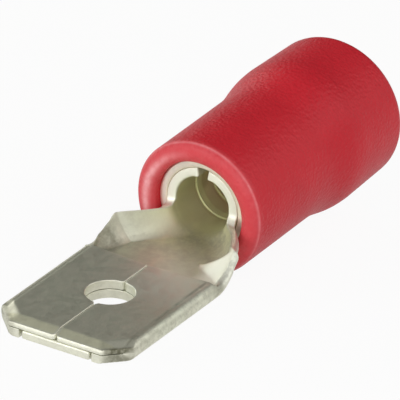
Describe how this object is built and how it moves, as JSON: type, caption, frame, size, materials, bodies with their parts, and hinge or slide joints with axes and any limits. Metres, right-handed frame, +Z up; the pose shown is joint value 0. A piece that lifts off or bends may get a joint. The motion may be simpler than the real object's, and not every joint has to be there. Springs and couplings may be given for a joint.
{
  "type": "male spade terminal",
  "caption": "Insulated male spade terminal: a folded flat tab with a latch hole, an open channel and a rolled wire barrel inside a flared red sleeve.",
  "frame": {"origin": "middle of the part's outline in plan, on the surface it lies on", "axes": "+X from the tab's tip towards the wire end, +Z up; the barrel's own axis rises by 6.8 degrees towards +X, because the part lies on the tab's tip and on the sleeve's front lip"},
  "size_m": [0.0214, 0.0066, 0.0073],
  "materials": {
    "tinned_sheet": "satin tin plating",
    "tinned_ring": "satin tin plating",
    "red_sleeve": "satin moulded vinyl"
  },
  "bodies": {
    "root": {"blade_terminal": "tinned_sheet", "support_ring": "tinned_ring", "insulating_sleeve": "red_sleeve"}
  },
  "joints": []
}
